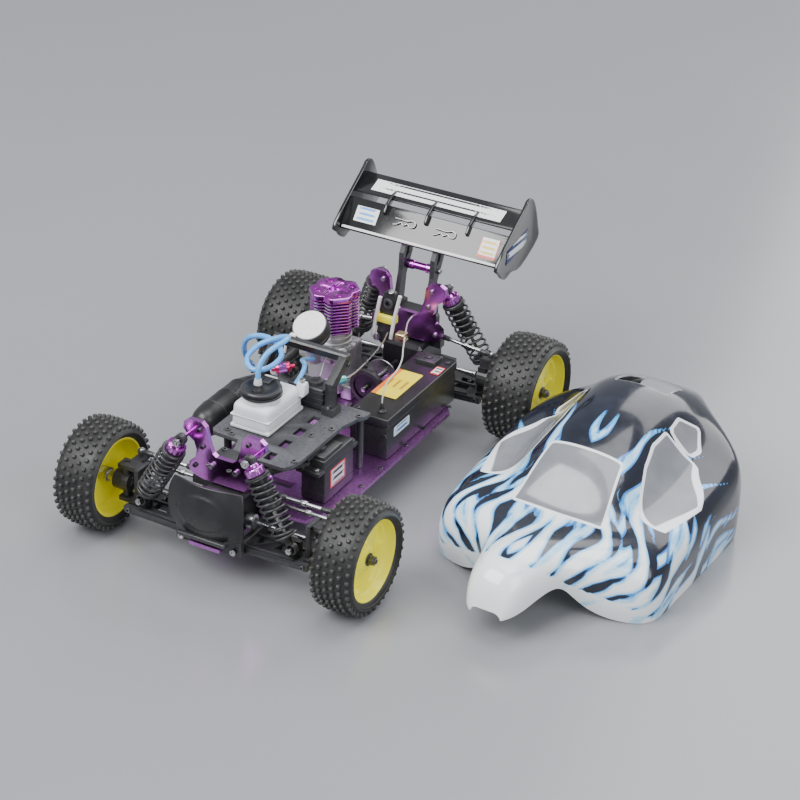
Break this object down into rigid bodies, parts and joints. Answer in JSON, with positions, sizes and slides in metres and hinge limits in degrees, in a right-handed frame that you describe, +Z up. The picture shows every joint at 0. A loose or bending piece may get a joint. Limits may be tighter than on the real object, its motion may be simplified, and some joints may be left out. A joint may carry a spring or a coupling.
{
  "type": "rc buggy",
  "caption": "Off-road model buggy with a small engine, sprung arms, spiked tyres, top deck, rear wing and a painted body shell standing beside it.",
  "frame": {"origin": "on the floor, under the middle of the box around the car and the shell beside it", "axes": "+Z up, the car drives towards -Y, +X is the car's left, where the shell stands"},
  "size_m": [0.4328, 0.3864, 0.18],
  "materials": {
    "purple_anodised": "anodised, polished",
    "black_plastic": "satin",
    "grey_plate": "satin",
    "silver": "cast",
    "steel": "plain",
    "tyre_rubber": "matt",
    "yellow_rim": "gloss",
    "tank_white": "translucent",
    "pipe_black": "satin",
    "hose_blue": "silicone",
    "wire_white": "sleeved wire",
    "wing_black": "gloss",
    "shell_paint": "painted, gloss"
  },
  "bodies": {
    "chassis": {"chassis_plate": "purple_anodised", "front_gearbox": "black_plastic", "rear_gearbox": "black_plastic", "front_shock_tower": "purple_anodised", "rear_shock_tower": "purple_anodised", "front_bumper": "black_plastic", "top_deck": "grey_plate", "steering_servo": "black_plastic", "receiver_box": "black_plastic", "receiver_box_lid": "black_plastic", "fuel_tank": "tank_white", "roll_bar": "black_plastic", "crankcase": "silver", "cooling_head": "purple_anodised", "air_filter": "black_plastic", "exhaust_pipe": "pipe_black", "wing_mount": "black_plastic", "rear_wing": "wing_black", "fuel_line": "hose_blue", "antenna_wire": "wire_white"},
    "steering_link": {"steering_link": "black_plastic"},
    "servo_horn": {"servo_horn": "black_plastic"},
    "tank_lid": {"tank_lid": "black_plastic"},
    "body_shell": {"body_shell": "shell_paint"},
    "front_left_arm": {"front_left_lower_arm": "black_plastic"},
    "front_left_hub": {"front_left_hub": "black_plastic"},
    "front_left_wheel": {"front_left_rim": "yellow_rim", "front_left_tyre": "tyre_rubber"},
    "front_left_shock_body": {"front_left_shock_body": "black_plastic", "front_left_spring": "black_plastic"},
    "front_left_shock_rod": {"front_left_shock_rod": "steel"},
    "front_left_camber_link": {"front_left_camber_link": "steel"},
    "front_left_knuckle": {"front_left_knuckle": "black_plastic"},
    "front_left_tie_rod": {"front_left_tie_rod": "steel"},
    "front_right_arm": {"front_right_lower_arm": "black_plastic"},
    "front_right_hub": {"front_right_hub": "black_plastic"},
    "front_right_wheel": {"front_right_rim": "yellow_rim", "front_right_tyre": "tyre_rubber"},
    "front_right_shock_body": {"front_right_shock_body": "black_plastic", "front_right_spring": "black_plastic"},
    "front_right_shock_rod": {"front_right_shock_rod": "steel"},
    "front_right_camber_link": {"front_right_camber_link": "steel"},
    "front_right_knuckle": {"front_right_knuckle": "black_plastic"},
    "front_right_tie_rod": {"front_right_tie_rod": "steel"},
    "rear_left_arm": {"rear_left_lower_arm": "black_plastic"},
    "rear_left_hub": {"rear_left_hub": "black_plastic"},
    "rear_left_wheel": {"rear_left_rim": "yellow_rim", "rear_left_tyre": "tyre_rubber"},
    "rear_left_shock_body": {"rear_left_shock_body": "black_plastic", "rear_left_spring": "black_plastic"},
    "rear_left_shock_rod": {"rear_left_shock_rod": "steel"},
    "rear_left_camber_link": {"rear_left_camber_link": "steel"},
    "rear_right_arm": {"rear_right_lower_arm": "black_plastic"},
    "rear_right_hub": {"rear_right_hub": "black_plastic"},
    "rear_right_wheel": {"rear_right_rim": "yellow_rim", "rear_right_tyre": "tyre_rubber"},
    "rear_right_shock_body": {"rear_right_shock_body": "black_plastic", "rear_right_spring": "black_plastic"},
    "rear_right_shock_rod": {"rear_right_shock_rod": "steel"},
    "rear_right_camber_link": {"rear_right_camber_link": "steel"}
  },
  "joints": [
    {"name": "steering", "type": "slide", "parent": "chassis", "child": "steering_link", "axis": [1, 0, 0], "range_m": [-0.008, 0.008]},
    {"name": "servo_horn_turn", "type": "hinge", "parent": "chassis", "child": "servo_horn", "pos_m": [-0.05537, -0.0788, 0.0703], "axis": [0, 0, 1], "range_deg": [-27, 27]},
    {"name": "tank_lid_hinge", "type": "hinge", "parent": "chassis", "child": "tank_lid", "pos_m": [-0.10737, -0.058, 0.1023], "axis": [-1, 0, 0], "range_deg": [0, 85], "stiffness_Nm_per_rad": 0.03, "springref_deg": -22.92, "deforming": ["fuel_line"]},
    {"name": "shell_lift", "type": "slide", "parent": "chassis", "child": "body_shell", "axis": [0, 0, 1], "range_m": [0, 0.12]},
    {"name": "front_left_suspension", "type": "hinge", "parent": "chassis", "child": "front_left_arm", "pos_m": [-0.06837, -0.1508, 0.03], "axis": [0, -1, 0], "range_deg": [-8, 15], "stiffness_Nm_per_rad": 1.3, "springref_deg": -9.74},
    {"name": "front_left_hub_turn", "type": "hinge", "parent": "front_left_arm", "child": "front_left_hub", "pos_m": [-0.01637, -0.1508, 0.03], "axis": [0, -1, 0], "range_deg": [-16, 9]},
    {"name": "front_left_kingpin_turn", "type": "hinge", "parent": "front_left_hub", "child": "front_left_knuckle", "pos_m": [-0.00437, -0.1508, 0.0424], "axis": [0, 0, 1], "range_deg": [-20, 20]},
    {"name": "front_left_tie_rod_turn", "type": "hinge", "parent": "steering_link", "child": "front_left_tie_rod", "pos_m": [-0.06637, -0.1268, 0.047], "axis": [0, -1, 0], "range_deg": [-8, 14]},
    {"name": "front_left_camber_link_turn", "type": "hinge", "parent": "chassis", "child": "front_left_camber_link", "pos_m": [-0.05837, -0.1373, 0.0615], "axis": [0, -1, 0], "range_deg": [-10, 17]},
    {"name": "front_left_shock_swing", "type": "hinge", "parent": "chassis", "child": "front_left_shock_body", "pos_m": [-0.06167, -0.1648, 0.102], "axis": [0, -1, 0], "range_deg": [-2, 3.5]},
    {"name": "front_left_shock_stroke", "type": "slide", "parent": "front_left_shock_body", "child": "front_left_shock_rod", "axis": [-0.4987, 0, 0.8668], "range_m": [-0.0075, 0.0125], "deforming": ["front_left_spring"]},
    {"name": "front_left_wheel_spin", "type": "hinge", "parent": "front_left_knuckle", "child": "front_left_wheel", "pos_m": [0.00963, -0.1508, 0.0424], "axis": [1, 0, 0], "continuous": true},
    {"name": "front_right_suspension", "type": "hinge", "parent": "chassis", "child": "front_right_arm", "pos_m": [-0.11237, -0.1508, 0.03], "axis": [0, 1, 0], "range_deg": [-8, 15], "stiffness_Nm_per_rad": 1.3, "springref_deg": -9.74},
    {"name": "front_right_hub_turn", "type": "hinge", "parent": "front_right_arm", "child": "front_right_hub", "pos_m": [-0.16437, -0.1508, 0.03], "axis": [0, 1, 0], "range_deg": [-16, 9]},
    {"name": "front_right_kingpin_turn", "type": "hinge", "parent": "front_right_hub", "child": "front_right_knuckle", "pos_m": [-0.17637, -0.1508, 0.0424], "axis": [0, 0, 1], "range_deg": [-20, 20]},
    {"name": "front_right_tie_rod_turn", "type": "hinge", "parent": "steering_link", "child": "front_right_tie_rod", "pos_m": [-0.11437, -0.1268, 0.047], "axis": [0, 1, 0], "range_deg": [-8, 14]},
    {"name": "front_right_camber_link_turn", "type": "hinge", "parent": "chassis", "child": "front_right_camber_link", "pos_m": [-0.12237, -0.1373, 0.0615], "axis": [0, 1, 0], "range_deg": [-10, 17]},
    {"name": "front_right_shock_swing", "type": "hinge", "parent": "chassis", "child": "front_right_shock_body", "pos_m": [-0.11907, -0.1648, 0.102], "axis": [0, 1, 0], "range_deg": [-2, 3.5]},
    {"name": "front_right_shock_stroke", "type": "slide", "parent": "front_right_shock_body", "child": "front_right_shock_rod", "axis": [0.4987, 0, 0.8668], "range_m": [-0.0075, 0.0125], "deforming": ["front_right_spring"]},
    {"name": "front_right_wheel_spin", "type": "hinge", "parent": "front_right_knuckle", "child": "front_right_wheel", "pos_m": [-0.19037, -0.1508, 0.0424], "axis": [1, 0, 0], "continuous": true},
    {"name": "rear_left_suspension", "type": "hinge", "parent": "chassis", "child": "rear_left_arm", "pos_m": [-0.06837, 0.1252, 0.03], "axis": [0, -1, 0], "range_deg": [-8, 15], "stiffness_Nm_per_rad": 1.3, "springref_deg": -12.61},
    {"name": "rear_left_hub_turn", "type": "hinge", "parent": "rear_left_arm", "child": "rear_left_hub", "pos_m": [-0.02437, 0.1252, 0.03], "axis": [0, -1, 0], "range_deg": [-16, 9]},
    {"name": "rear_left_camber_link_turn", "type": "hinge", "parent": "chassis", "child": "rear_left_camber_link", "pos_m": [-0.06637, 0.1242, 0.07], "axis": [0, -1, 0], "range_deg": [-10, 17]},
    {"name": "rear_left_shock_swing", "type": "hinge", "parent": "chassis", "child": "rear_left_shock_body", "pos_m": [-0.06037, 0.1232, 0.1115], "axis": [0.8724, -0.4184, 0.2525], "range_deg": [-2, 3.5]},
    {"name": "rear_left_shock_stroke", "type": "slide", "parent": "rear_left_shock_body", "child": "rear_left_shock_rod", "axis": [-0.3789, -0.2526, 0.8903], "range_m": [-0.0075, 0.0125], "deforming": ["rear_left_spring"]},
    {"name": "rear_left_wheel_spin", "type": "hinge", "parent": "rear_left_hub", "child": "rear_left_wheel", "pos_m": [0.00963, 0.1252, 0.0439], "axis": [1, 0, 0], "continuous": true},
    {"name": "rear_right_suspension", "type": "hinge", "parent": "chassis", "child": "rear_right_arm", "pos_m": [-0.11237, 0.1252, 0.03], "axis": [0, 1, 0], "range_deg": [-8, 15], "stiffness_Nm_per_rad": 1.3, "springref_deg": -12.61},
    {"name": "rear_right_hub_turn", "type": "hinge", "parent": "rear_right_arm", "child": "rear_right_hub", "pos_m": [-0.15637, 0.1252, 0.03], "axis": [0, 1, 0], "range_deg": [-16, 9]},
    {"name": "rear_right_camber_link_turn", "type": "hinge", "parent": "chassis", "child": "rear_right_camber_link", "pos_m": [-0.11437, 0.1242, 0.07], "axis": [0, 1, 0], "range_deg": [-10, 17]},
    {"name": "rear_right_shock_swing", "type": "hinge", "parent": "chassis", "child": "rear_right_shock_body", "pos_m": [-0.12037, 0.1232, 0.1115], "axis": [0.8724, 0.4184, -0.2525], "range_deg": [-2, 3.5]},
    {"name": "rear_right_shock_stroke", "type": "slide", "parent": "rear_right_shock_body", "child": "rear_right_shock_rod", "axis": [0.3789, -0.2526, 0.8903], "range_m": [-0.0075, 0.0125], "deforming": ["rear_right_spring"]},
    {"name": "rear_right_wheel_spin", "type": "hinge", "parent": "rear_right_hub", "child": "rear_right_wheel", "pos_m": [-0.19037, 0.1252, 0.0439], "axis": [1, 0, 0], "continuous": true}
  ],
  "couplings": [
    {"joint": "servo_horn_turn", "follows": "steering", "rad_per_m": 55.556},
    {"joint": "front_left_hub_turn", "follows": "front_left_suspension", "ratio": -1},
    {"joint": "front_left_kingpin_turn", "follows": "steering", "rad_per_m": -41.667},
    {"joint": "front_left_tie_rod_turn", "follows": "front_left_suspension", "ratio": 0.8667},
    {"joint": "front_left_camber_link_turn", "follows": "front_left_suspension", "ratio": 1.04},
    {"joint": "front_left_shock_swing", "follows": "front_left_suspension", "ratio": 0.1607},
    {"joint": "front_left_shock_stroke", "follows": "front_left_suspension", "m_per_rad": 0.04172},
    {"joint": "front_right_hub_turn", "follows": "front_right_suspension", "ratio": -1},
    {"joint": "front_right_kingpin_turn", "follows": "steering", "rad_per_m": -41.667},
    {"joint": "front_right_tie_rod_turn", "follows": "front_right_suspension", "ratio": 0.8667},
    {"joint": "front_right_camber_link_turn", "follows": "front_right_suspension", "ratio": 1.04},
    {"joint": "front_right_shock_swing", "follows": "front_right_suspension", "ratio": 0.1607},
    {"joint": "front_right_shock_stroke", "follows": "front_right_suspension", "m_per_rad": 0.04172},
    {"joint": "rear_left_hub_turn", "follows": "rear_left_suspension", "ratio": -1},
    {"joint": "rear_left_camber_link_turn", "follows": "rear_left_suspension", "ratio": 0.9167},
    {"joint": "rear_left_shock_swing", "follows": "rear_left_suspension", "ratio": 0.1389},
    {"joint": "rear_left_shock_stroke", "follows": "rear_left_suspension", "m_per_rad": 0.038},
    {"joint": "rear_right_hub_turn", "follows": "rear_right_suspension", "ratio": -1},
    {"joint": "rear_right_camber_link_turn", "follows": "rear_right_suspension", "ratio": 0.9167},
    {"joint": "rear_right_shock_swing", "follows": "rear_right_suspension", "ratio": 0.1389},
    {"joint": "rear_right_shock_stroke", "follows": "rear_right_suspension", "m_per_rad": 0.038}
  ]
}
